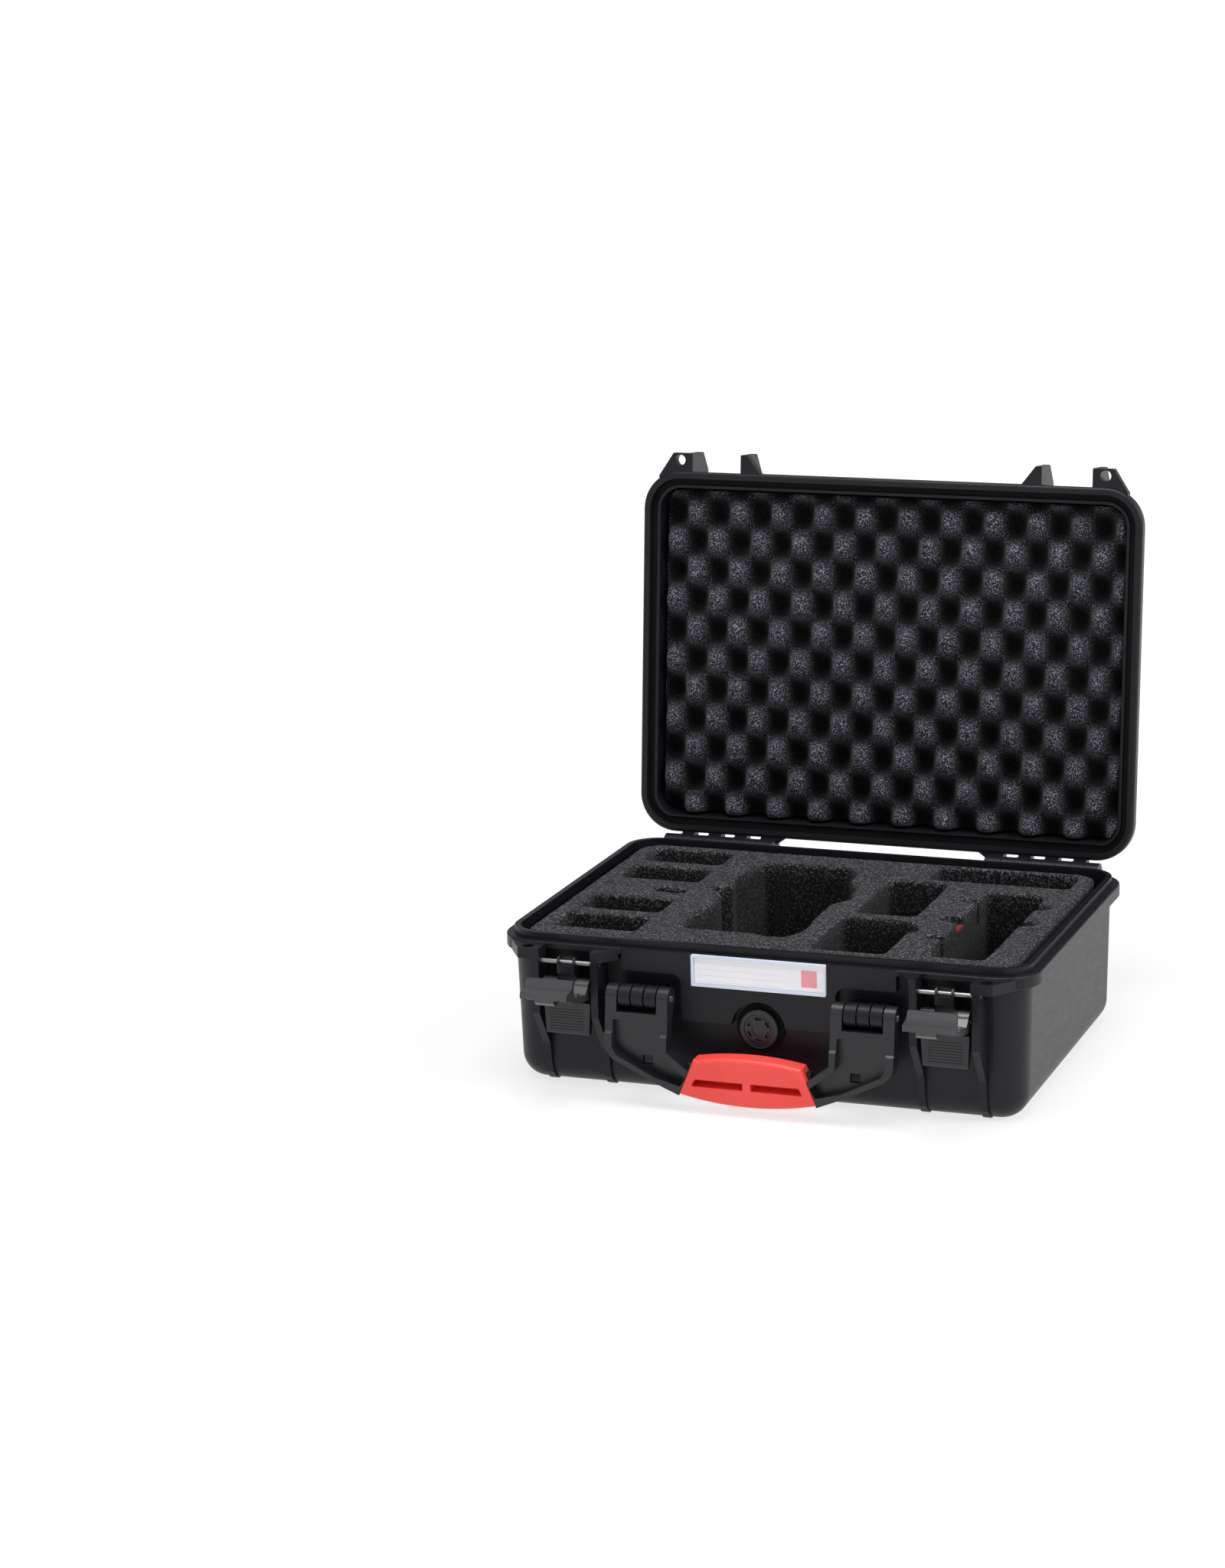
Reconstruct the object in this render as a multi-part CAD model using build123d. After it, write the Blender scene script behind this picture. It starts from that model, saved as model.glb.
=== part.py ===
from build123d import *
import os

# Hard carrying case for a folding camera drone, lid open, latches undone and handle hanging.
# Millimetres. X runs left to right, -Y is the front with the handle, Z is up.
# The origin is the centre of the base's underside.

# Plan and heights
HALF_W = 215.0
HALF_D = 153.0
CORNER_R = 32.0
LEDGE_Z = 117.5
RIM_T = 10.5
RIM_INSET = 7.6
DRAFT = 1.5
WALL_T = 3.4
BOTTOM_R = 20.0
BASE_IN = 204.0

# Seal: a tongue on the base rim enters a groove in the lid rim
TONGUE_OUT_INSET = 6.4
TONGUE_TOP = 123.0
GROOVE_OUT = 5.9
GROOVE_IN = 11.4
GROOVE_TOP = 126.5
LID_LIP_IN = 13.7
LID_LIP_Z = 121.3

# Lid, measured closed
LID_TOP = 159.5
LID_ROOF = 3.5
LID_WALL_INSET = 9.2
LID_EDGE_R = 15.0
LID_OPEN = 96.0
HINGE_Y = 163.0
HINGE_Z = 113.5
HINGE_R = 9.0
HINGE_PIN_R = 2.0
BASE_KNUCKLES = [(106.6, 118.2), (130.0, 141.0), (153.4, 165.0), (177.0, 189.0)]
LID_KNUCKLES = [(92.5, 106.2), (118.6, 129.6), (141.4, 153.0), (165.4, 176.6)]

# Latches, stated for the right-hand side
RIB_OUTER = (172.8, 178.5)
RIB_INNER = (124.3, 130.1)
ROD_Y = -161.5
ROD_Z = 105.5
LINK_Y = -161.0
LINK_Z = 85.0
LATCH_PIN_R = 1.75
CLAW_OPEN = 81.0
PADLOCK_X = 183.0
PADLOCK_Y = -162.5
PADLOCK_R = 4.5

# Handle
HUB_Y = -165.5
HUB_Z = 84.2
HUB_R = 9.0
HUB_PIN_R = 2.5
HANDLE_ARMS = [(65.0, 74.0), (106.4, 115.4)]
HANDLE_LUGS = [(75.2, 84.4), (85.6, 94.8), (96.0, 105.2)]

# Front panel, label and pressure valve
PANEL_Y = -152.3
VALVE_Z = 61.3
VALVE_R = 15.4
VALVE_SEAT_Y = -145.2

# Foam
FOAM_TOP = 121.0
FOAM_BOTTOM = 4.1
RUN = 0.06


def block(x0, x1, y0, y1, z0, z1):
    """A box between two corners."""
    centre = Pos((x0 + x1) / 2, (y0 + y1) / 2, (z0 + z1) / 2)
    return centre * Box(x1 - x0, y1 - y0, z1 - z0)


def slab(half_x, half_y, r, z0, z1, y=0.0):
    """A round-cornered slab, flat in plan."""
    return Pos(0, y, z0) * extrude(RectangleRounded(2 * half_x, 2 * half_y, r), z1 - z0)


def rim(inset, z0, z1):
    """A slab that follows the rim's outline at a given inset."""
    return slab(HALF_W - inset, HALF_D - inset, CORNER_R - inset, z0, z1)


def outline(points):
    """A flat face from its corners."""
    return make_face(Polyline(*points, close=True))


def side_prism(points, x0, x1):
    """A solid whose outline is given in (y, z) and runs from x0 to x1."""
    return Plane.YZ.offset(x0) * extrude(outline(points), x1 - x0)


def front_prism(face, y0, y1):
    """A solid whose face is given in (x, z) and runs from y0 to y1."""
    return Plane.XZ.offset(-y1) * extrude(face, y1 - y0)


def plan_prism(points, z0, z1):
    """A solid whose outline is given in (x, y) and runs from z0 to z1."""
    return Pos(0, 0, z0) * extrude(outline(points), z1 - z0)


def rod_x(r, x0, x1, y, z):
    """A round bar along X."""
    return Pos((x0 + x1) / 2, y, z) * Rot(0, 90, 0) * Cylinder(r, x1 - x0)


def rod_y(r, y0, y1, x, z):
    """A round bar along Y."""
    return Pos(x, (y0 + y1) / 2, z) * Rot(90, 0, 0) * Cylinder(r, y1 - y0)


def rod_z(r, z0, z1, x, y):
    """A round bar along Z."""
    return Pos(x, y, (z0 + z1) / 2) * Cylinder(r, z1 - z0)


def other_side(solid):
    """The same piece on the left of the case."""
    return mirror(solid, about=Plane.YZ)


def both(solid):
    """A piece and its twin on the other side."""
    return solid + other_side(solid)


def tapered(half_x, half_y, r, z_wide, z_narrow, edge_r, y=0.0):
    """A drafted, round-cornered block that is widest at z_wide, with its narrow end's edge rounded."""
    face = RectangleRounded(2 * half_x, 2 * half_y, r)
    body = extrude(face, abs(z_narrow - z_wide), taper=DRAFT)
    if z_narrow < z_wide:
        body = mirror(body, about=Plane.XY)
        end = body.edges().group_by(Axis.Z)[0]
    else:
        end = body.edges().group_by(Axis.Z)[-1]
    return Pos(0, y, z_wide) * fillet(end, edge_r)


def opened(solid):
    """Turns a lid piece from its closed place to its open one."""
    return solid.rotate(Axis((0, HINGE_Y, HINGE_Z), (1, 0, 0)), -LID_OPEN)


def ear_pair(z0, z1):
    """The padlock ear and the inner gusset that flank a latch, both sides."""
    ear = plan_prism([(172.1, -147), (172.1, -168.3), (189.3, -168.3), (201.8, -149), (201.8, -147)], z0, z1)
    ear = ear - rod_z(PADLOCK_R, z0 - 1, z1 + 1, PADLOCK_X, PADLOCK_Y)
    gusset = plan_prism([(129.6, -147), (129.6, -168.3), (124.3, -168.3), (112.5, -153), (112.5, -147)], z0, z1)
    return both(ear + gusset)


def base_shell():
    wall_top = LEDGE_Z - RIM_T
    body = tapered(HALF_W - RIM_INSET, HALF_D - RIM_INSET, CORNER_R - RIM_INSET, wall_top, 0, BOTTOM_R)
    flange = rim(0, wall_top, LEDGE_Z)
    flange = fillet(flange.edges().group_by(Axis.Z)[0] + flange.edges().group_by(Axis.Z)[-1], 1.2)
    body = body + flange + rim(TONGUE_OUT_INSET, LEDGE_Z, TONGUE_TOP)
    # dark bays under a thin ledge, either side of the front panel
    front_y = -(HALF_D - RIM_INSET)
    body = body - both(block(110, 179, -160, front_y, 100, 113))
    body = body - block(-110, 110, -160, PANEL_Y, 100, 118)
    # ribs that frame each latch and run down the front
    for x0, x1 in (RIB_OUTER, RIB_INNER):
        rib = side_prism([(-140, 116.5), (-167.5, 116.5), (-167.5, 64), (-148, 34), (-146, 20), (-143, 9),
                          (-137.5, 3), (-132, 0.6), (-123, 0.6), (-123, 20)], x0, x1)
        body = body + both(rib)
    body = body + ear_pair(108, 116.5)
    # raised front panel with a scooped recess round the valve
    panel = outline([(-110, LEDGE_Z), (110, LEDGE_Z), (110, 100), (62, 100), (62, 63.5),
                     (-62, 63.5), (-62, 100), (-110, 100)])
    scoops = panel.vertices().filter_by(lambda v: abs(abs(v.X) - 62) < 0.1 and v.Y > 99)
    panel = front_prism(fillet(scoops, 8), PANEL_Y, -142)
    panel = panel - rod_y(21.7, -160, VALVE_SEAT_Y, 0, VALVE_Z)
    body = body + panel
    # handle lugs
    for x0, x1 in HANDLE_LUGS:
        lug = block(x0, x1, HUB_Y, -143, HUB_Z - HUB_R, HUB_Z + 5) + rod_x(HUB_R, x0, x1, HUB_Y, HUB_Z)
        body = body + both(lug)
    # hinge knuckles, each on a small gusset
    for x0, x1 in BASE_KNUCKLES:
        web = side_prism([(143, 117.5), (HINGE_Y, 117.5), (HINGE_Y, 104.5), (158, 106), (146, 90), (143, 90)],
                         x0, x1)
        body = body + both(web + rod_x(HINGE_R, x0, x1, HINGE_Y, HINGE_Z))
    # the cavity
    room = tapered(BASE_IN, BASE_IN - 62, CORNER_R - 11, wall_top, WALL_T, BOTTOM_R - 3.5)
    mouth = slab(BASE_IN, BASE_IN - 62, CORNER_R - 11, wall_top, TONGUE_TOP + 1)
    body = body - (room + mouth)
    # pin holes and the valve's hole
    body = body - both(rod_x(HINGE_PIN_R, 91, 191, HINGE_Y, HINGE_Z))
    body = body - both(rod_x(LATCH_PIN_R, 123, 180, ROD_Y, ROD_Z))
    body = body - both(rod_x(HUB_PIN_R, 64, 117, HUB_Y, HUB_Z))
    body = body - rod_y(8, -150, -130, 0, VALVE_Z) - rod_y(13.5, -141.3, -130, 0, VALVE_Z)
    return body


def lid_shell():
    """The lid in its closed place."""
    flange = rim(0, LEDGE_Z, LEDGE_Z + RIM_T)
    flange = fillet(flange.edges().group_by(Axis.Z)[0], 2.6)
    flange = fillet(flange.edges().group_by(Axis.Z)[-1], 1.2)
    dome = tapered(HALF_W - LID_WALL_INSET, HALF_D - LID_WALL_INSET, CORNER_R - LID_WALL_INSET,
                   LEDGE_Z + RIM_T - 2, LID_TOP, LID_EDGE_R)
    # shallow recessed panel on the top, crossed by three ribs
    recess = slab(168, 106, 18, LID_TOP - 1.2, LID_TOP + 1)
    for x in (-84, 0, 84):
        recess = recess - block(x - 3, x + 3, -120, 120, LID_TOP - 2, LID_TOP + 2)
    body = flange + (dome - recess)
    body = body + ear_pair(118.5, 127)
    # the ears' ribs run over the lid's front
    for x0, x1 in ((172.1, 177.6), (124.3, 129.6)):
        rib = side_prism([(-140, 118.5), (-168.3, 118.5), (-168.3, 146), (-153, 158.5), (-140, 158.5)], x0, x1)
        body = body + both(rib)
    # keeper plates that the claws hook over
    body = body - both(block(130.5, 172, -160, -148.7, 121, 135))
    # hinge lugs
    for x0, x1 in LID_KNUCKLES:
        web = side_prism([(HINGE_Y - HINGE_R, HINGE_Z), (HINGE_Y - HINGE_R, 118.3), (145, 118.3), (140, 128),
                          (162, 128), (HINGE_Y + HINGE_R, HINGE_Z)], x0, x1)
        body = body + both(web + rod_x(HINGE_R, x0, x1, HINGE_Y, HINGE_Z))
    body = body + both(plan_prism([(83.7, 152), (92.6, 158.4), (92.6, 152)], 118.3, 128))
    # cavity, seal groove and the lower inner lip
    cavity = tapered(HALF_W - LID_LIP_IN, HALF_D - LID_LIP_IN, CORNER_R - LID_LIP_IN, LEDGE_Z - 1,
                     LID_TOP - LID_ROOF, LID_EDGE_R - 4)
    groove = rim(GROOVE_OUT, LEDGE_Z - 1, GROOVE_TOP) - rim(GROOVE_IN, LEDGE_Z - 2, GROOVE_TOP + 1)
    step = rim(GROOVE_IN - 0.1, LEDGE_Z - 1, LID_LIP_Z)
    back_relief = block(-190, 190, HALF_D - GROOVE_IN - 1.2, HALF_D - GROOVE_IN + 0.5, LEDGE_Z, GROOVE_TOP)
    body = body - cavity - groove - step - back_relief
    return body - both(rod_x(HINGE_PIN_R + RUN, 91, 178, HINGE_Y, HINGE_Z))


def lid_gasket():
    """Sponge cord lying in the lid's groove, closed place."""
    return rim(GROOVE_OUT + 0.2, TONGUE_TOP + 0.3, GROOVE_TOP) - rim(GROOVE_IN - 0.2, TONGUE_TOP, GROOVE_TOP + 1)


def lid_foam():
    """Cushion that fills the lid, closed place."""
    return tapered(199, 137, 14, 122.2, LID_TOP - LID_ROOF, 10)


# Pockets in the base foam: corners in plan, and the depth below the foam's top
BATTERY = [(-181, -18), (-113, -18), (-113, 18), (-181, 18)]
DRONE = [(-85, -79), (-79, -97), (-43, -96), (-21, -97), (-10, -102), (5, -100), (13.5, -78), (11, -42),
         (10, -19), (11, -3), (23, 18), (18, 29), (17.5, 47), (6, 63), (4.4, 89), (-8, 103), (-78, 99),
         (-88, 52), (-82, 28), (-98, 14), (-87, 9), (-82, 0), (-79, -21)]
REMOTE = [(122, -98), (128, -120), (168, -120), (170, -98), (170, 60), (122, 60)]
# Finger notches beside the remote: mouth x, tip x, middle y, half length of the mouth, depth
SLITS = [(122, 104, 34, 3.2, 20), (122, 103, -70, 3.2, 20)]
LEAVES = [(122, 103, -19, 9.5, 10), (170, 183, -16, 8, 10), (170, 183, 30, 8, 10)]


def pocket(points, depth, r):
    """A round-cornered pocket sunk into the foam."""
    face = outline(points)
    face = fillet(face.vertices(), r)
    return Pos(0, 0, FOAM_TOP - depth) * extrude(face, depth + 2)


def leaf(mouth, tip, y, half, z0, z1):
    """Half a leaf in plan: wide at the pocket's edge and pointed away from it."""
    middle = tip + 0.38 * (mouth - tip)
    inner = mouth + 1.5 * (1 if mouth > tip else -1)
    return plan_prism([(inner, y - half), (mouth, y - half), (middle, y - 0.55 * half), (tip, y),
                       (middle, y + 0.55 * half), (mouth, y + half), (inner, y + half)], z0, z1)


def base_foam():
    body = tapered(196, 137.2, 19.5, FOAM_TOP, FOAM_BOTTOM, 15, y=-4.2)
    for y in (-98, -44, 48, 102):
        body = body - pocket([(x, y + dy) for x, dy in BATTERY], 48, 4)
    body = body - pocket([(-141, -4), (-113, -4), (-113, 7), (-141, 7)], 20, 4)
    body = body - pocket(DRONE, 66, 3)
    body = body - pocket([(32, -124), (92, -124), (92, -36), (32, -36)], 45, 6)
    body = body - block(91, 98, -60, -45, FOAM_TOP - 20, FOAM_TOP + 2)
    body = body - pocket([(36, -20), (86, -20), (86, 76), (36, 76)], 45, 6)
    body = body - pocket([(64, 88), (182, 88), (182, 126), (64, 126)], 50, 6)
    body = body - pocket(REMOTE, 62, 5)
    for mouth, tip, y, half, depth in SLITS + LEAVES:
        body = body - leaf(mouth, tip, y, half, FOAM_TOP - depth, FOAM_TOP + 2)
    return body - rod_y(16, -145, -131, 0, VALVE_Z)


def foam_notch_pads():
    """Thin coloured pads on the floors of the open finger notches."""
    pads = []
    for mouth, tip, y, half, depth in LEAVES:
        pad = leaf(mouth, tip, y, half, FOAM_TOP - depth, FOAM_TOP - depth + 3)
        pads.append(pad & (block(103.5, 121.9, -60, 60, 0, 130) + block(170.1, 182.5, -60, 60, 0, 130)))
    return Compound(children=pads)


def latch_lever():
    """The hand lever, home: a knuckle on the rod, an arm and a wide plate with fine grip lines."""
    arm = side_prism([(-165.8, ROD_Z - 1), (-165.8, 97.5), (-161.5, 94), (-161.5, 88), (-164, 78), (-164, 70),
                      (-158.6, 70), (-157, 84), (-157.6, ROD_Z - 1)], 143.8, 158.2)
    body = arm + rod_x(4.5, 143.8, 158.2, ROD_Y, ROD_Z) + rod_x(4.4, 143.8, 158.2, LINK_Y, LINK_Z)
    plate = front_prism(outline([(132.1, 74.6), (170.2, 74.6), (168.8, 48), (133.8, 48)]), -164, -158.5)
    plate = fillet(plate.edges().group_by(Axis.Z)[0].filter_by(Axis.X), 2)
    plate = plate + block(132.1, 170.2, -165.4, -160, 73.2, 74.6)
    for i in range(8):
        z = 52 + 2.3 * i
        plate = plate - block(138, 165, -165, -163.5, z, z + 0.9)
    body = body + plate
    hollow = block(137.5, 165, -160.2, -158, 52, 71) - block(143.4, 158.6, -161, -157, 60, 72)
    body = body - hollow
    # the knuckle is open at the front and top, so the rod shows between two end rings
    body = body - block(145.4, 156.6, -168, ROD_Y + 0.6, ROD_Z - 1.4, ROD_Z + 6)
    body = body - rod_x(LATCH_PIN_R + RUN, 140, 162, ROD_Y, ROD_Z)
    return body - rod_x(LATCH_PIN_R, 140, 162, LINK_Y, LINK_Z)


def latch_claw():
    """The claw in its closed place, hooked over the lid's keeper plate."""
    profile = [(-169, LINK_Z), (-169, 101), (-167.6, 118), (-164.6, 129), (-164, 136), (-159.2, 136),
               (-156, 126.4), (-150, 123.4), (-149.6, 121.3), (-158, 121.3), (-163.6, 119), (-163.6, 97),
               (-154, 89), (-153.2, LINK_Z)]
    body = side_prism(profile, 132.3, 170.4)
    body = body + rod_x(8, 132.3, 170.4, LINK_Y, LINK_Z)
    # a ridge across the inner face, between the barrel and the hook
    body = body + side_prism([(-165, 108.5), (-163.6, 108.5), (-161.2, 110), (-161.2, 113), (-163.6, 114.5),
                              (-165, 114.5)], 132.3, 170.4)
    # window for the lever's knuckle and arm
    body = body - block(143.4, 158.6, -172, -150, 74, 112)
    # finger tab
    tab = side_prism([(-163, 136), (-166.4, 136), (-168.4, 133), (-167, 125), (-163, 122)], 142.7, 158.3)
    # long hollow in the front face
    hollow = block(147, 154, -169, -166.6, 113.5, 122)
    body = body + tab - hollow
    body = body - rod_x(LATCH_PIN_R + RUN, 130, 172, LINK_Y, LINK_Z)
    return body.rotate(Axis((0, LINK_Y, LINK_Z), (1, 0, 0)), CLAW_OPEN)


def handle_core():
    """The bar inside the grip."""
    return block(-49, 49, -175.5, -169, 30, 38) + block(-58, 58, -172, -168.6, 14, 20)


def handle_frame():
    hanging = [(-174.5, HUB_Z), (-177.4, 58.5), (-179.2, 57), (-180, 48), (-181, 40), (-181, 8), (-167, 8),
               (-167, 64), (-158, 80), (-156.5, HUB_Z)]
    arm_face = outline([(65, HUB_Z), (64.8, 46), (45, 31), (55, 13), (77.4, 22.2), (108, 37.2), (113.5, 42.5),
                        (115.4, 48), (115.4, HUB_Z)])
    profile = side_prism(hanging, 30, 130)
    body = front_prism(arm_face, -190, -150) & profile
    for x0, x1 in HANDLE_ARMS:
        body = body + rod_x(HUB_R, x0, x1, HUB_Y, HUB_Z)
    # room for the lugs above the cross-bar, narrower arms below the hubs, and a thin sunk web
    body = body - block(74, 106.4, -190, -150, 73.8, 100)
    web = outline([(70.4, 68), (109.2, 68), (109.2, 47), (105.5, 40.8), (74.5, 25.4), (54, 20), (49.5, 27.5),
                   (69.5, 43.5)])
    body = body - front_prism(fillet(web.vertices(), 1.4), -190, -171)
    body = body - block(78.9, 87.2, -171.5, -150, 32.2, 39.6)
    body = body - rod_x(HUB_PIN_R + RUN, 64, 117, HUB_Y, HUB_Z)
    grip_room = front_prism(grip_face(), -190, -150)
    return both(body - grip_room) + handle_core()


def grip_face():
    """The grip's front outline, bowed above and below."""
    top = ThreePointArc((-43.3, 42.2), (0, 46.2), (43.3, 42.2))
    right = Line((43.3, 42.2), (55.2, 14.2))
    bottom = ThreePointArc((55.2, 14.2), (0, 7.8), (-55.2, 14.2))
    left = Line((-55.2, 14.2), (-43.3, 42.2))
    return make_face([top, right, bottom, left])


def handle_grip():
    body = front_prism(grip_face(), -182.5, -165)
    body = fillet(body.edges().group_by(Axis.Y)[0], 3.5)
    body = fillet(body.edges().group_by(Axis.Y)[-1], 3)
    slot = outline([(3.1, 27.5), (41.6, 27.5), (44.7, 21.5), (3.1, 21.5)])
    body = body - both(front_prism(fillet(slot.vertices(), 0.8), -190, -169))
    return body - handle_core()


def handle_pin():
    return rod_x(HUB_PIN_R, 64.4, 116, HUB_Y, HUB_Z)


def valve_seal():
    return rod_y(14.6, VALVE_SEAT_Y - 1.2, VALVE_SEAT_Y, 0, VALVE_Z) - rod_y(8, -150, -140, 0, VALVE_Z)


def valve_body():
    """A flanged plug with a sunk face; its stem passes through the wall."""
    front = VALVE_SEAT_Y - 1.2
    body = rod_y(VALVE_R, -151.6, front, 0, VALVE_Z)
    body = fillet(body.edges().group_by(Axis.Y)[0], 1.2)
    body = body - rod_y(11.8, -153, -149, 0, VALVE_Z)
    stem = rod_y(8, -148.5, -133, 0, VALVE_Z)
    return body + stem - rod_y(3, -150, -130, 0, VALVE_Z)


def valve_cap():
    """The vent cap, with a raised ring and six slots."""
    body = rod_y(11.4, -151.0, -149, 0, VALVE_Z)
    body = body + rod_y(9.4, -151.8, -150, 0, VALVE_Z) - rod_y(5.6, -153, -151, 0, VALVE_Z)
    for i in range(6):
        slot = Pos(0, -151.6, VALVE_Z) * Rot(0, 60 * i, 0) * Pos(0, 0, 8.2) * Box(5, 4, 2.2)
        body = body - slot
    return body


def valve_nut():
    hexagon = Plane.XZ.offset(136.6) * extrude(RegularPolygon(12.6, 6), 4.7)
    return Pos(0, 0, VALVE_Z) * hexagon - rod_y(8, -150, -130, 0, VALVE_Z)


def label_holder():
    """A tray on the front panel, open at the right end for the card."""
    body = block(-52.6, 55, PANEL_Y - 2.6, PANEL_Y, 92.6, 117.4)
    body = fillet(body.edges().filter_by(Axis.Y), 0.8)
    return body - block(-50.4, 54, PANEL_Y - 3, PANEL_Y - 0.8, 94.8, 115.4)


def label_card():
    return block(-50.2, 53.8, PANEL_Y - 1.2, PANEL_Y - 0.8, 95, 115.2)


def label_window():
    return block(-50.4, 54, PANEL_Y - 2.0, PANEL_Y - 1.3, 94.8, 115.4)


def hinge_pin():
    return rod_x(HINGE_PIN_R, 92, 189.6, HINGE_Y, HINGE_Z)


def latch_pivot_pin():
    return rod_x(LATCH_PIN_R, 124.1, 178.6, ROD_Y, ROD_Z)


def latch_link_pin():
    return rod_x(LATCH_PIN_R, 132.1, 170.6, LINK_Y, LINK_Z)


parts = {
    "base_shell": base_shell(),
    "base_foam": base_foam(),
    "foam_notch_pads": foam_notch_pads(),
    "lid_shell": opened(lid_shell()),
    "lid_foam": opened(lid_foam()),
    "lid_gasket": opened(lid_gasket()),
    "handle_frame": handle_frame(),
    "handle_grip": handle_grip(),
    "valve_body": valve_body(),
    "valve_cap": valve_cap(),
    "valve_seal": valve_seal(),
    "valve_nut": valve_nut(),
    "label_holder": label_holder(),
    "label_card": label_card(),
    "label_window": label_window(),
}
paired = {
    "hinge_pin": hinge_pin(),
    "latch_pivot_pin": latch_pivot_pin(),
    "latch_lever": latch_lever(),
    "latch_claw": latch_claw(),
    "latch_link_pin": latch_link_pin(),
    "handle_pin": handle_pin(),
}
for name, solid in paired.items():
    parts[name + "_right"] = solid
    parts[name + "_left"] = other_side(solid)

os.makedirs("parts", exist_ok=True)
for name, solid in parts.items():
    solid.label = name
    export_step(solid, os.path.join("parts", name + ".step"))
    box = solid.bounding_box()
    print(name, "solids", len(solid.solids()), "volume", round(solid.volume),
          [round(v, 1) for v in (*box.min, *box.max)])
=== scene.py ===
import math

import bpy
import numpy as np
from mathutils import Matrix, Vector, noise


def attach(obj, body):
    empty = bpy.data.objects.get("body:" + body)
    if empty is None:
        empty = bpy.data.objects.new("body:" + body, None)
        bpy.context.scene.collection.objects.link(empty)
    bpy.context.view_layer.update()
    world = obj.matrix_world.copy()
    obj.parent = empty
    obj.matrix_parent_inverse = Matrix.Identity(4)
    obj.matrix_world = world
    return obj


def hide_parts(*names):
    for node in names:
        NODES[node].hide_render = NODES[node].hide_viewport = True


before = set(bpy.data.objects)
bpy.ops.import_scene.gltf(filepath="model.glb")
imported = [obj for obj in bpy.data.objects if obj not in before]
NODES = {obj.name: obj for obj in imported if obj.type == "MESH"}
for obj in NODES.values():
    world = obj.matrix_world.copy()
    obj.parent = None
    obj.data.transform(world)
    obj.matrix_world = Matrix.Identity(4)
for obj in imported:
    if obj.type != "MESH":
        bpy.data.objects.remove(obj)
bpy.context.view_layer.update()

# Metres throughout. The case stands open: the lid is turned back by LID_OPEN about its hinge.
HINGE_Y = 0.163
HINGE_Z = 0.1135
LID_OPEN = math.radians(96.0)

# ---------------------------------------------------------------- helpers


def opened(points):
    """Turns points of the closed lid, in metres, to the open lid's place."""
    c, s = math.cos(LID_OPEN), math.sin(LID_OPEN)
    dy = points[:, 1] - HINGE_Y
    dz = points[:, 2] - HINGE_Z
    turned = points.copy()
    turned[:, 1] = HINGE_Y + dy * c + dz * s
    turned[:, 2] = HINGE_Z - dy * s + dz * c
    return turned


def add_object(name, mesh, body):
    """A new piece that rides a body."""
    piece = bpy.data.objects.new(name, mesh)
    bpy.context.scene.collection.objects.link(piece)
    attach(piece, body)
    return piece


def applied(piece):
    """The piece's mesh with its modifiers worked in."""
    graph = bpy.context.evaluated_depsgraph_get()
    mesh = bpy.data.meshes.new_from_object(piece.evaluated_get(graph))
    piece.modifiers.clear()
    piece.data = mesh
    return mesh


def points_of(mesh):
    """The mesh's points as rows of an array."""
    flat = np.empty(len(mesh.vertices) * 3, dtype=np.float32)
    mesh.vertices.foreach_get("co", flat)
    return flat.reshape(-1, 3).astype(float)


def set_points(mesh, points):
    mesh.vertices.foreach_set("co", points.astype(np.float32).ravel())
    mesh.update()


# -------------------------------------------------------------- materials


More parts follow.
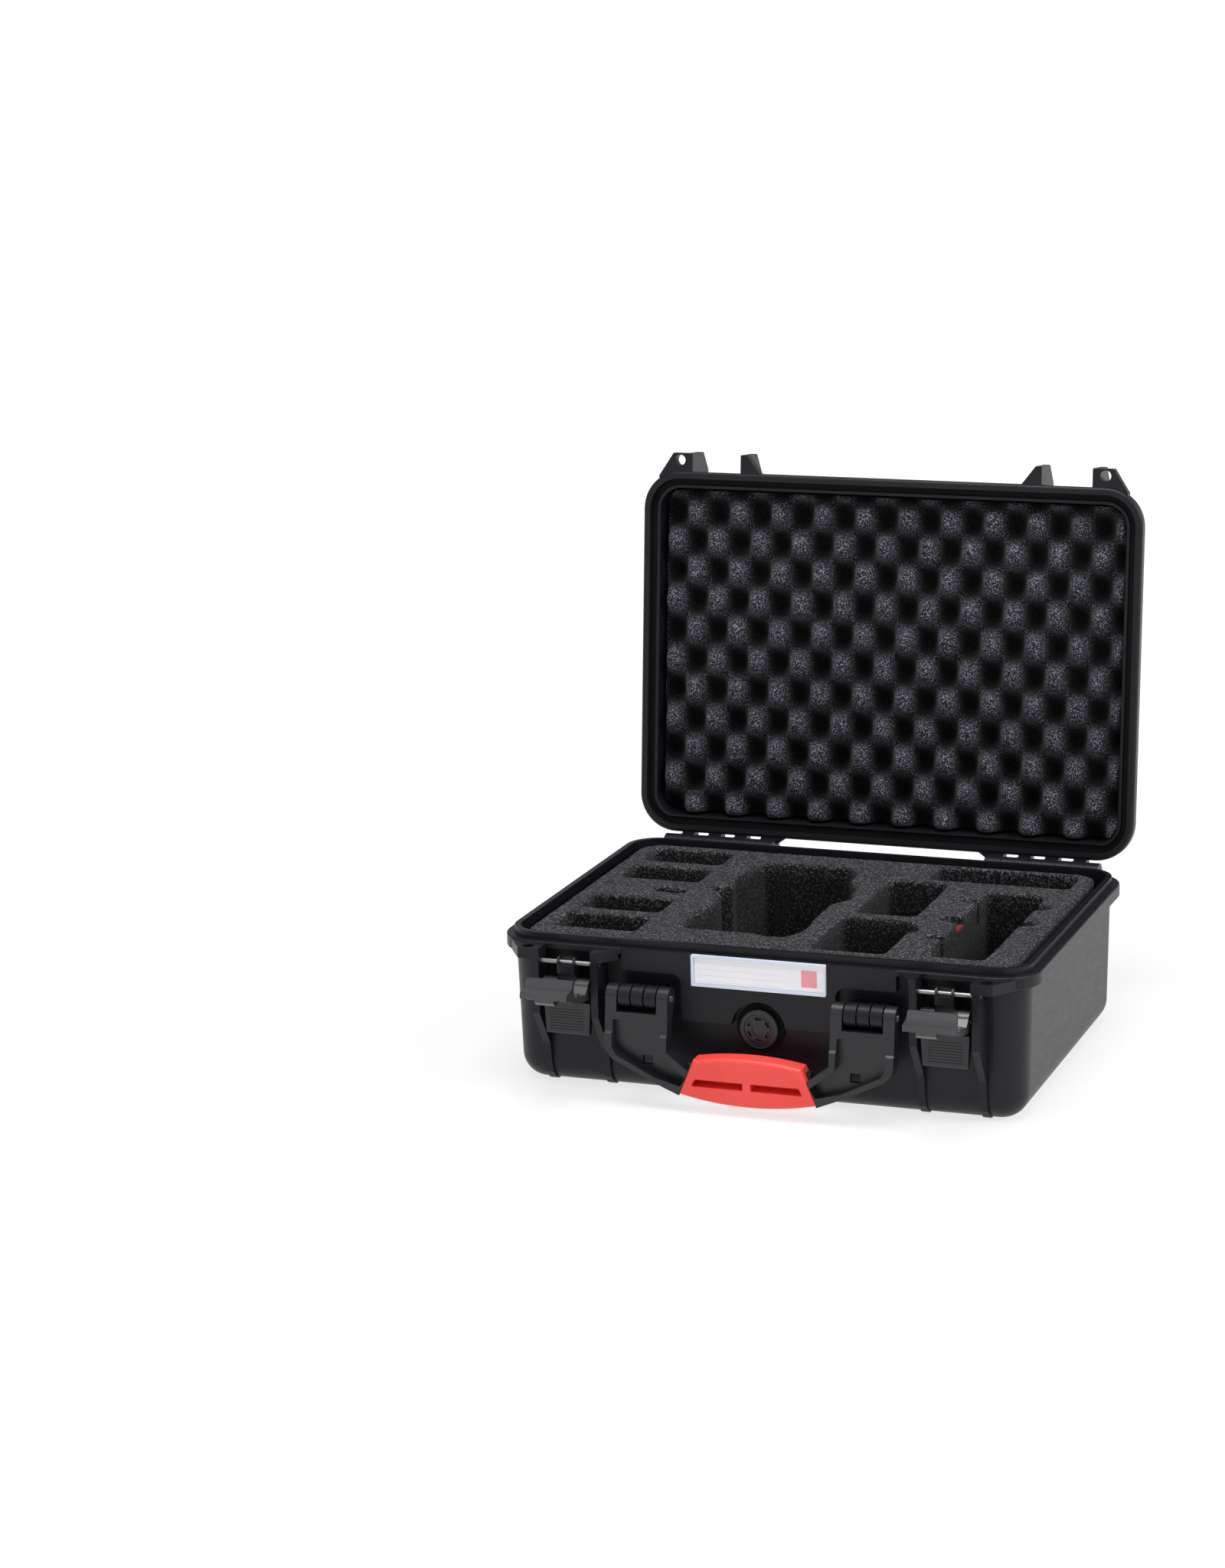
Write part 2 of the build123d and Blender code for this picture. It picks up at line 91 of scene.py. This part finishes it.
class Nodes:
    """A small wrapper that adds and links shader nodes."""

    def __init__(self, name):
        self.material = bpy.data.materials.new(name)
        self.material.use_nodes = True
        self.tree = self.material.node_tree
        self.shader = self.tree.nodes["Principled BSDF"]
        self.place = self.add("ShaderNodeTexCoord").outputs["Object"]

    def add(self, kind, **values):
        node = self.tree.nodes.new(kind)
        for key, value in values.items():
            setattr(node, key, value)
        return node

    def link(self, a, b):
        self.tree.links.new(a, b)

    def noise(self, scale, detail=3.0, rough=0.55, stretch=None):
        """Noise of so many cycles a metre, stretched along the axes if asked."""
        node = self.add("ShaderNodeTexNoise")
        node.inputs["Scale"].default_value = scale
        node.inputs["Detail"].default_value = detail
        node.inputs["Roughness"].default_value = rough
        if stretch:
            mapping = self.add("ShaderNodeMapping")
            mapping.inputs["Scale"].default_value = stretch
            self.link(self.place, mapping.inputs["Vector"])
            self.link(mapping.outputs["Vector"], node.inputs["Vector"])
        else:
            self.link(self.place, node.inputs["Vector"])
        return node.outputs["Fac"]

    def cells(self, scale):
        """Distance to the nearest cell's middle, with so many cells a metre."""
        node = self.add("ShaderNodeTexVoronoi")
        node.inputs["Scale"].default_value = scale
        self.link(self.place, node.inputs["Vector"])
        return node.outputs["Distance"]

    def ramp(self, fac, stops):
        """A colour ramp through stops given as (position, colour)."""
        node = self.add("ShaderNodeValToRGB")
        ramp = node.color_ramp
        ramp.elements[0].position, ramp.elements[0].color = stops[0][0], shade(stops[0][1])
        ramp.elements[1].position, ramp.elements[1].color = stops[-1][0], shade(stops[-1][1])
        for position, colour in stops[1:-1]:
            ramp.elements.new(position).color = shade(colour)
        self.link(fac, node.inputs["Fac"])
        return node.outputs["Color"]

    def mix(self, fac, a, b, how="MIX"):
        """Mixes two colours, each of them a socket or a fixed colour."""
        node = self.add("ShaderNodeMix", data_type="RGBA", blend_type=how)
        for socket, value in ((node.inputs[0], fac), (node.inputs[6], a), (node.inputs[7], b)):
            if isinstance(value, bpy.types.NodeSocket):
                self.link(value, socket)
            elif isinstance(value, (tuple, list)):
                socket.default_value = shade(value)
            else:
                socket.default_value = value
        return node.outputs[2]

    def math(self, how, a, b=0.0):
        node = self.add("ShaderNodeMath", operation=how)
        for socket, value in ((node.inputs[0], a), (node.inputs[1], b)):
            if isinstance(value, bpy.types.NodeSocket):
                self.link(value, socket)
            else:
                socket.default_value = value
        return node.outputs[0]

    def bump(self, heights, strength=1.0):
        """Chains bumps given as (height, distance in metres)."""
        previous = None
        for height, distance in heights:
            node = self.add("ShaderNodeBump")
            node.inputs["Strength"].default_value = strength
            node.inputs["Distance"].default_value = distance
            self.link(height, node.inputs["Height"])
            if previous:
                self.link(previous, node.inputs["Normal"])
            previous = node.outputs["Normal"]
        self.link(previous, self.shader.inputs["Normal"])

    def set(self, **values):
        """Sets or links the main shader's sockets, named with underscores for spaces."""
        for key, value in values.items():
            socket = self.shader.inputs[key.replace("_", " ")]
            if isinstance(value, bpy.types.NodeSocket):
                self.link(value, socket)
            elif isinstance(value, (tuple, list)):
                socket.default_value = shade(value)
            else:
                socket.default_value = value


def shade(colour):
    """The colour with full alpha."""
    return (colour[0], colour[1], colour[2], 1.0)


def moulded(name, dark, light, rough=(0.42, 0.58), grain=1900.0, depth=0.00012, specular=0.5):
    """Moulded resin with a fine sparked grain, faint flow marks and soft scuffs."""
    m = Nodes(name)
    flow = m.noise(9.0, 4.0)
    fine = m.noise(grain, 2.0)
    scuff = m.noise(70.0, 6.0, 0.7, (1.0, 1.0, 3.0))
    base = m.ramp(flow, [(0.3, dark), (0.7, light)])
    worn = m.ramp(scuff, [(0.55, (0.0, 0.0, 0.0)), (0.8, (0.35, 0.35, 0.35))])
    colour = m.mix(worn, base, tuple(1.25 * v for v in light))
    roughness = m.ramp(m.mix(0.4, scuff, fine), [(0.3, (rough[0],) * 3), (0.7, (rough[1],) * 3)])
    m.set(Base_Color=colour, Roughness=roughness, Specular_IOR_Level=specular)
    m.bump([(flow, 0.0004), (fine, depth)], 0.5)
    return m.material


def foam(name, dark, mid, speck, up, face, floor, shadow=0.35, cell=820.0):
    """Open-cell foam: dark pores, a speckle of paler cell walls, and painted shade that darkens it down in
    its hollows.

    "up" points out of the foam's face. "face" and "floor" are the heights along it at which the painted
    shade starts and ends, "shadow" is what is left of the colour at the floor, and "cell" is how many
    specks there are to a metre.
    """
    m = Nodes(name)
    pores = m.cells(760.0)
    grain = m.noise(cell, 2.0, 0.6)
    patches = m.noise(28.0, 3.0)
    base = m.ramp(grain, [(0.40, dark), (0.52, mid), (0.64, speck)])
    pored = m.mix(m.ramp(pores, [(0.1, (0.6, 0.6, 0.6)), (0.5, (0.0, 0.0, 0.0))]), base, dark)
    toned = m.mix(m.ramp(patches, [(0.35, (0.0, 0.0, 0.0)), (0.75, (0.25, 0.25, 0.25))]), pored, mid)
    # Painted shade: the colour is darkened with depth below the face, down to "shadow" of itself at the
    # floor.
    height = m.add("ShaderNodeVectorMath", operation="DOT_PRODUCT")
    m.link(m.place, height.inputs[0])
    height.inputs[1].default_value = up
    sunk = m.add("ShaderNodeMapRange")
    m.link(height.outputs["Value"], sunk.inputs["Value"])
    for key, value in (("From Min", floor), ("From Max", face), ("To Min", shadow), ("To Max", 1.0)):
        sunk.inputs[key].default_value = value
    level = m.add("ShaderNodeCombineColor")
    for key in ("Red", "Green", "Blue"):
        m.link(sunk.outputs["Result"], level.inputs[key])
    shaded = m.mix(1.0, toned, level.outputs["Color"], "MULTIPLY")
    m.set(Base_Color=shaded, Roughness=0.95, Specular_IOR_Level=0.1)
    m.set(Sheen_Weight=0.06, Sheen_Roughness=0.6)
    m.bump([(pores, 0.0006), (grain, 0.0006)], 0.8)
    return m.material


def steel(name):
    """Drawn steel: fine lines along the pin."""
    m = Nodes(name)
    lines = m.noise(900.0, 3.0, 0.6, (0.06, 1.0, 1.0))
    stain = m.noise(120.0, 3.0)
    m.set(Base_Color=m.ramp(stain, [(0.3, (0.30, 0.30, 0.31)), (0.7, (0.48, 0.48, 0.49))]))
    m.set(Metallic=1.0)
    m.set(Roughness=m.ramp(lines, [(0.3, (0.30,) * 3), (0.7, (0.50,) * 3)]))
    m.bump([(lines, 0.00006)], 0.6)
    return m.material


def rubber(name):
    """Dull black rubber."""
    m = Nodes(name)
    fine = m.noise(1400.0, 2.0)
    bloom = m.noise(40.0)
    m.set(Base_Color=m.ramp(bloom, [(0.3, (0.002, 0.002, 0.0025)), (0.7, (0.004, 0.004, 0.0048))]))
    m.set(Roughness=m.ramp(fine, [(0.3, (0.6,) * 3), (0.7, (0.8,) * 3)]), Specular_IOR_Level=0.15)
    m.bump([(fine, 0.0001)], 0.5)
    return m.material


CARD_SQUARE_X = (0.0355, 0.0480)
CARD_SQUARE_Z = (0.0983, 0.1118)
CARD_RULED_X = (-0.047, 0.020)
CARD_RULED_Z = (0.0965, 0.1125)
CARD_RULE_PITCH = 0.0046
CARD_RULE_SHARE = 0.09


def card(name):
    """A plain white card with faint ruled lines and a coral square near its right end."""
    m = Nodes(name)
    split = m.add("ShaderNodeSeparateXYZ")
    m.link(m.place, split.inputs[0])
    x, z = split.outputs["X"], split.outputs["Z"]

    def inside(value, span):
        above = m.math("GREATER_THAN", value, span[0])
        return m.math("MULTIPLY", above, m.math("LESS_THAN", value, span[1]))

    square = m.math("MULTIPLY", inside(x, CARD_SQUARE_X), inside(z, CARD_SQUARE_Z))
    fibres = m.ramp(m.noise(900.0, 3.0), [(0.3, (0.86, 0.86, 0.89)), (0.7, (0.92, 0.92, 0.95))])
    rows = m.math("FRACT", m.math("DIVIDE", z, CARD_RULE_PITCH))
    rule = m.math("MULTIPLY", m.math("LESS_THAN", rows, CARD_RULE_SHARE), inside(x, CARD_RULED_X))
    rule = m.math("MULTIPLY", rule, inside(z, CARD_RULED_Z))
    ruled = m.mix(m.math("MULTIPLY", rule, 0.35), fibres, (0.45, 0.47, 0.52))
    m.set(Base_Color=m.mix(square, ruled, (0.86, 0.33, 0.37)), Roughness=0.45)
    m.bump([(m.noise(1500.0), 0.00003)], 0.4)
    return m.material


def clear(name):
    """A thin clear sheet."""
    m = Nodes(name)
    m.set(Base_Color=(0.97, 0.98, 1.0), Roughness=0.08, Transmission_Weight=1.0, IOR=1.02)
    m.set(Alpha=0.12)
    return m.material


SHELL = moulded("shell_resin", (0.0050, 0.0055, 0.0080), (0.0072, 0.0079, 0.0108), (0.34, 0.46),
                specular=0.27)
DETAIL = moulded("detail_resin", (0.008, 0.0086, 0.0115), (0.012, 0.0128, 0.0160), (0.26, 0.38),
                 specular=0.48)
GRIP = moulded("grip_resin", (0.84, 0.056, 0.044), (0.92, 0.074, 0.058), (0.38, 0.50), 1500.0, 0.00008)
# Claw resin: glossier than the lever's, and lighter in colour as a painted highlight on the claws' lit
# faces.
CLAW_PAINTED_HIGHLIGHT = moulded("claw_resin_painted_highlight", (0.020, 0.0205, 0.0235), (0.028, 0.0285, 0.032), (0.26, 0.36), specular=0.9)
HOLDER = moulded("holder_plastic", (0.62, 0.68, 0.80), (0.72, 0.78, 0.90), (0.2, 0.3), 900.0, 0.00003)
# All three foams are darkened down in their hollows by painted shade: the lid's pits, the insert's pockets
# and the notch pads.
LID_OUT = (0.0, -math.sin(LID_OPEN), -math.cos(LID_OPEN))
FOAM_LID = foam("egg_crate_foam", (0.004, 0.004, 0.006), (0.026, 0.027, 0.034), (0.26, 0.265, 0.325),
                LID_OUT, -0.1605, -0.175, 0.05)
FOAM_BASE = foam("insert_foam", (0.0024, 0.0024, 0.003), (0.014, 0.0136, 0.016), (0.125, 0.122, 0.138),
                 (0.0, 0.0, 1.0), 0.120, 0.108, cell=560.0)
FOAM_RED = foam("red_foam", (0.08, 0.006, 0.005), (0.17, 0.014, 0.011), (0.28, 0.035, 0.03),
                (0.0, 0.0, 1.0), 0.111, 0.100)
STEEL = steel("drawn_steel")
RUBBER = rubber("seal_rubber")
CARD = card("white_card")
CLEAR = clear("clear_sheet")

FINISH = {"base_shell": SHELL, "lid_shell": SHELL, "lid_gasket": RUBBER, "valve_seal": RUBBER,
          "handle_frame": DETAIL, "handle_grip": GRIP, "valve_body": DETAIL, "valve_cap": DETAIL,
          "valve_nut": DETAIL, "label_holder": HOLDER, "label_card": CARD, "label_window": CLEAR}
for side in ("left", "right"):
    for stem in ("hinge_pin", "latch_pivot_pin", "latch_link_pin", "handle_pin"):
        FINISH[stem + "_" + side] = STEEL
    FINISH["latch_lever_" + side] = DETAIL
    FINISH["latch_claw_" + side] = CLAW_PAINTED_HIGHLIGHT

# How wide each moulded piece's edges are rolled.
EDGE = {"base_shell": 0.0005, "lid_shell": 0.0005, "handle_frame": 0.0008, "handle_grip": 0.0004,
        "latch_lever_left": 0.0005, "latch_lever_right": 0.0005, "latch_claw_left": 0.0006,
        "latch_claw_right": 0.0006, "valve_body": 0.0003, "valve_cap": 0.0003, "label_holder": 0.0003}

for name, material in FINISH.items():
    node = NODES[name]
    node.data.materials.clear()
    node.data.materials.append(material)
    if name in EDGE:
        soften = node.modifiers.new("edge", "BEVEL")
        soften.width = EDGE[name]
        soften.segments = 2
        soften.limit_method = "ANGLE"
        soften.angle_limit = math.radians(35)
        soften.harden_normals = True

# --------------------------------------------------------- the lid's foam

# Half sizes and corner radius of the cushion, and the heights of its two sides with the lid shut.
FOAM_X = 0.199
FOAM_Y = 0.137
FOAM_R = 0.014
FOAM_FACE = 0.1222
FOAM_BACK = 0.1555
FOAM_LEAST = 0.004

# The pits: pitch along a row, pitch between rows, the place of one pit, depth, and how far
# and how fast the grid wanders.
PIT_PITCH = 0.0369
ROW_PITCH = 0.0252
PIT_X = -0.0235
PIT_Y = 0.0068
PIT_DEPTH = 0.021
WANDER = 0.0012
WANDER_RATE = 22

# The face's unevenness, and how its cut edge falls away over a narrow band.
RIPPLE = 0.0009
RIPPLE_RATE = 55
EDGE_FALL = 0.0025
EDGE_BAND = 0.004

STEP = 0.00135


def round_corner(x, y, half_x, half_y, r):
    """Moves grid points near a square corner on to a round one."""
    cx, cy = half_x - r, half_y - r
    dx = np.clip(np.abs(x) - cx, 0, r) / r
    dy = np.clip(np.abs(y) - cy, 0, r) / r
    corner = (dx > 0) & (dy > 0)
    nx = np.where(corner, dx * np.sqrt(1 - dy * dy / 2), dx)
    ny = np.where(corner, dy * np.sqrt(1 - dx * dx / 2), dy)
    new_x = np.sign(x) * (np.minimum(np.abs(x), cx) + nx * r)
    new_y = np.sign(y) * (np.minimum(np.abs(y), cy) + ny * r)
    return new_x, new_y


def layer(x, y, rate, height):
    """Smooth noise over the face, one flat layer of it."""
    return np.array([noise.noise(Vector((a * rate, b * rate, height))) for a, b in zip(x, y)])


def egg_crate(x, y):
    """Depth of the convoluted face below its peaks: mounds and pits in a staggered grid."""
    warp_x = layer(x, y, WANDER_RATE, 4.1)
    warp_y = layer(x, y, WANDER_RATE, 9.7)
    across = np.cos(2 * math.pi * (x + WANDER * warp_x - PIT_X) / PIT_PITCH)
    along = np.cos(math.pi * (y + WANDER * warp_y - PIT_Y) / ROW_PITCH)
    sunk = (1 + across * along) / 2
    return PIT_DEPTH * sunk * sunk * (3 - 2 * sunk)


def lid_foam():
    """The lid's egg-crate cushion: the convoluted face, its cut sides and a flat back."""
    nx = int(2 * FOAM_X / STEP) + 1
    ny = int(2 * FOAM_Y / STEP) + 1
    u = np.linspace(-FOAM_X, FOAM_X, nx)
    v = np.linspace(-FOAM_Y, FOAM_Y, ny)
    gx, gy = np.meshgrid(u, v)
    x, y = round_corner(gx.ravel(), gy.ravel(), FOAM_X, FOAM_Y, FOAM_R)
    z = FOAM_FACE + egg_crate(x, y) + RIPPLE * (1 + layer(x, y, RIPPLE_RATE, 0.3))
    edge = np.minimum(FOAM_X - np.abs(x), FOAM_Y - np.abs(y))
    z = z + EDGE_FALL * np.clip(1 - edge / EDGE_BAND, 0, 1) ** 2
    front = np.stack([x, y, np.minimum(z, FOAM_BACK - FOAM_LEAST)], axis=1)
    back = front.copy()
    back[:, 2] = FOAM_BACK
    points = opened(np.vstack([front, back]))
    n = nx * ny
    faces = []
    for j in range(ny - 1):
        for i in range(nx - 1):
            a = j * nx + i
            faces.append((a, a + nx, a + nx + 1, a + 1))
    border = list(range(nx))
    border += [j * nx + nx - 1 for j in range(1, ny)]
    border += [(ny - 1) * nx + i for i in range(nx - 2, -1, -1)]
    border += [j * nx for j in range(ny - 2, 0, -1)]
    m = len(border)
    ring = [tuple(points[n + b]) for b in border]
    verts = [tuple(p) for p in points[:n]] + ring
    for i in range(m):
        j = (i + 1) % m
        faces.append((border[i], border[j], n + j, n + i))
    faces.append(tuple(n + i for i in range(m)))
    mesh = bpy.data.meshes.new("lid_egg_crate")
    mesh.from_pydata(verts, [], faces)
    mesh.validate()
    mesh.update()
    for polygon in mesh.polygons:
        polygon.use_smooth = True
    mesh.materials.append(FOAM_LID)
    piece = add_object("lid_egg_crate_cushion", mesh, "lid")
    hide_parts("lid_foam")


lid_foam()

# -------------------------------------------------------- the base's foam


def soft_copy(name, source, body, material, voxel, rounds, ripple):
    """A soft, slightly uneven copy of a foam solid, with rounded cut edges."""
    mesh = NODES[source].data.copy()
    piece = add_object(name, mesh, body)
    remesh = piece.modifiers.new("remesh", "REMESH")
    remesh.mode = "VOXEL"
    remesh.voxel_size = voxel
    smooth = piece.modifiers.new("smooth", "SMOOTH")
    smooth.factor = 0.5
    smooth.iterations = rounds
    mesh = applied(piece)
    mesh.materials.clear()
    mesh.materials.append(material)
    points = points_of(mesh)
    normals = np.array([v.normal[:] for v in mesh.vertices])
    wave = np.array([noise.noise(Vector(p * 60)) + 0.5 * noise.noise(Vector(p * 260)) for p in points])
    set_points(mesh, points + normals * (ripple * (wave - 0.4))[:, None])
    for polygon in mesh.polygons:
        polygon.use_smooth = True
    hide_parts(source)


soft_copy("base_foam_insert", "base_foam", "base", FOAM_BASE, 0.002, 3, 0.00025)
soft_copy("notch_foam_pads", "foam_notch_pads", "base", FOAM_RED, 0.0006, 2, 0.0001)

# ------------------------------------------------- small pieces on the front


COLLAR_Z = 0.0613
COLLAR_BACK = -0.1452
COLLAR_FRONT = -0.1466
COLLAR_R = 0.0195
COLLAR_CHAMFER = 0.0002
COLLAR_BORE_R = 0.0148
COLLAR_TEETH = 56
TOOTH_DEPTH = 0.0008


def knurled_ring():
    """A dark toothed collar that sits in the recess behind the pressure valve, a closed ring."""
    steps = 4 * COLLAR_TEETH
    section = ((COLLAR_BACK, COLLAR_R, TOOTH_DEPTH), (COLLAR_FRONT, COLLAR_R - COLLAR_CHAMFER, TOOTH_DEPTH),
               (COLLAR_FRONT, COLLAR_BORE_R, 0.0), (COLLAR_BACK, COLLAR_BORE_R, 0.0))
    verts = []
    for y, radius, tooth in section:
        for i in range(steps):
            angle = 2 * math.pi * i / steps
            r = radius - (tooth if i % 4 > 1 else 0.0)
            verts.append((r * math.cos(angle), y, COLLAR_Z + r * math.sin(angle)))
    faces = []
    for k in range(4):
        low, high = k * steps, (k + 1) % 4 * steps
        for i in range(steps):
            j = (i + 1) % steps
            faces.append((low + i, low + j, high + j, high + i))
    mesh = bpy.data.meshes.new("valve_collar")
    mesh.from_pydata(verts, [], faces)
    mesh.update()
    mesh.materials.append(RUBBER)
    add_object("valve_collar", mesh, "base")


knurled_ring()

# ------------------------------------------------------------- the setting


FLOOR_SIZE = 200.0
# The floor's glow near the case and far off, as (distance, strength): the weaker glow near the case is a
# painted shadow.
GLOW_NEAR = (0.3, 0.74)
GLOW_FAR = (1.6, 0.95)


def backdrop():
    """A pale floor with a faint glow of its own, less of it near the case so that a shadow shows."""
    size = FLOOR_SIZE
    corners = [(-size, -size, 0), (size, -size, 0), (size, size, 0), (-size, size, 0)]
    mesh = bpy.data.meshes.new("floor")
    mesh.from_pydata(corners, [], [(0, 1, 2, 3)])
    m = Nodes("pale_floor")
    m.set(Base_Color=m.ramp(m.noise(3.0), [(0.3, (0.215, 0.215, 0.22)), (0.7, (0.235, 0.235, 0.235))]))
    m.set(Roughness=0.8)
    reach = m.add("ShaderNodeVectorMath", operation="LENGTH")
    m.link(m.place, reach.inputs[0])
    glow = m.add("ShaderNodeMapRange")
    m.link(reach.outputs["Value"], glow.inputs["Value"])
    glow.inputs["From Min"].default_value, glow.inputs["To Min"].default_value = GLOW_NEAR
    glow.inputs["From Max"].default_value, glow.inputs["To Max"].default_value = GLOW_FAR
    m.set(Emission_Color=(1.0, 1.0, 1.0), Emission_Strength=glow.outputs["Result"], Specular_IOR_Level=0.1)
    mesh.materials.append(m.material)
    floor = bpy.data.objects.new("floor", mesh)
    bpy.context.scene.collection.objects.link(floor)


def soft_box(name, place, target, size, power):
    """A white rectangular light aimed at a point."""
    light = bpy.data.lights.new(name, "AREA")
    light.shape = "RECTANGLE"
    light.size, light.size_y = size
    light.energy = power
    lamp = bpy.data.objects.new(name, light)
    bpy.context.scene.collection.objects.link(lamp)
    lamp.location = place
    lamp.rotation_euler = (Vector(target) - Vector(place)).to_track_quat("-Z", "Y").to_euler()


backdrop()
soft_box("key", (2.5, -0.2, 1.7), (0, 0, 0.15), (1.3, 1.3), 48.0)
soft_box("fill", (-1.2, -3.0, 1.8), (0, 0, 0.15), (2.0, 1.4), 6.0)
soft_box("top", (0.1, -0.5, 2.7), (0, 0, 0.1), (1.7, 1.5), 62.0)

world = bpy.data.worlds.new("studio")
world.use_nodes = True
world.node_tree.nodes["Background"].inputs["Color"].default_value = (1.0, 1.0, 1.0, 1.0)
world.node_tree.nodes["Background"].inputs["Strength"].default_value = 0.4
bpy.context.scene.world = world
bpy.context.scene.view_settings.view_transform = "Standard"
bpy.context.scene.view_settings.look = "None"

# --------------------------------------------------------------- the camera

EYE = (0.8889, -2.7090, 0.9310)
YAW = math.radians(18.61)
PITCH = math.radians(14.05)
ROLL = math.radians(-0.91)
SENSOR_MM = 24.0
LENS_MM = 57.0656
SHIFT_X = -0.112646
SEE_TO = 2000.0


def camera():
    """The camera, from its place and its three turns; the frame is shifted along its level."""
    forward = Vector((-math.sin(YAW) * math.cos(PITCH), math.cos(YAW) * math.cos(PITCH), -math.sin(PITCH)))
    level = Vector((math.cos(YAW), math.sin(YAW), 0))
    up = level.cross(forward)
    right = math.cos(ROLL) * level + math.sin(ROLL) * up
    top = -math.sin(ROLL) * level + math.cos(ROLL) * up
    data = bpy.data.cameras.new("camera")
    data.sensor_fit = "VERTICAL"
    data.sensor_height = SENSOR_MM
    data.lens = LENS_MM
    data.shift_x = SHIFT_X
    data.clip_end = SEE_TO
    eye = bpy.data.objects.new("camera", data)
    bpy.context.scene.collection.objects.link(eye)
    turn = Matrix((right, top, -forward)).transposed().to_4x4()
    eye.matrix_world = Matrix.Translation(EYE) @ turn
    bpy.context.scene.camera = eye


camera()
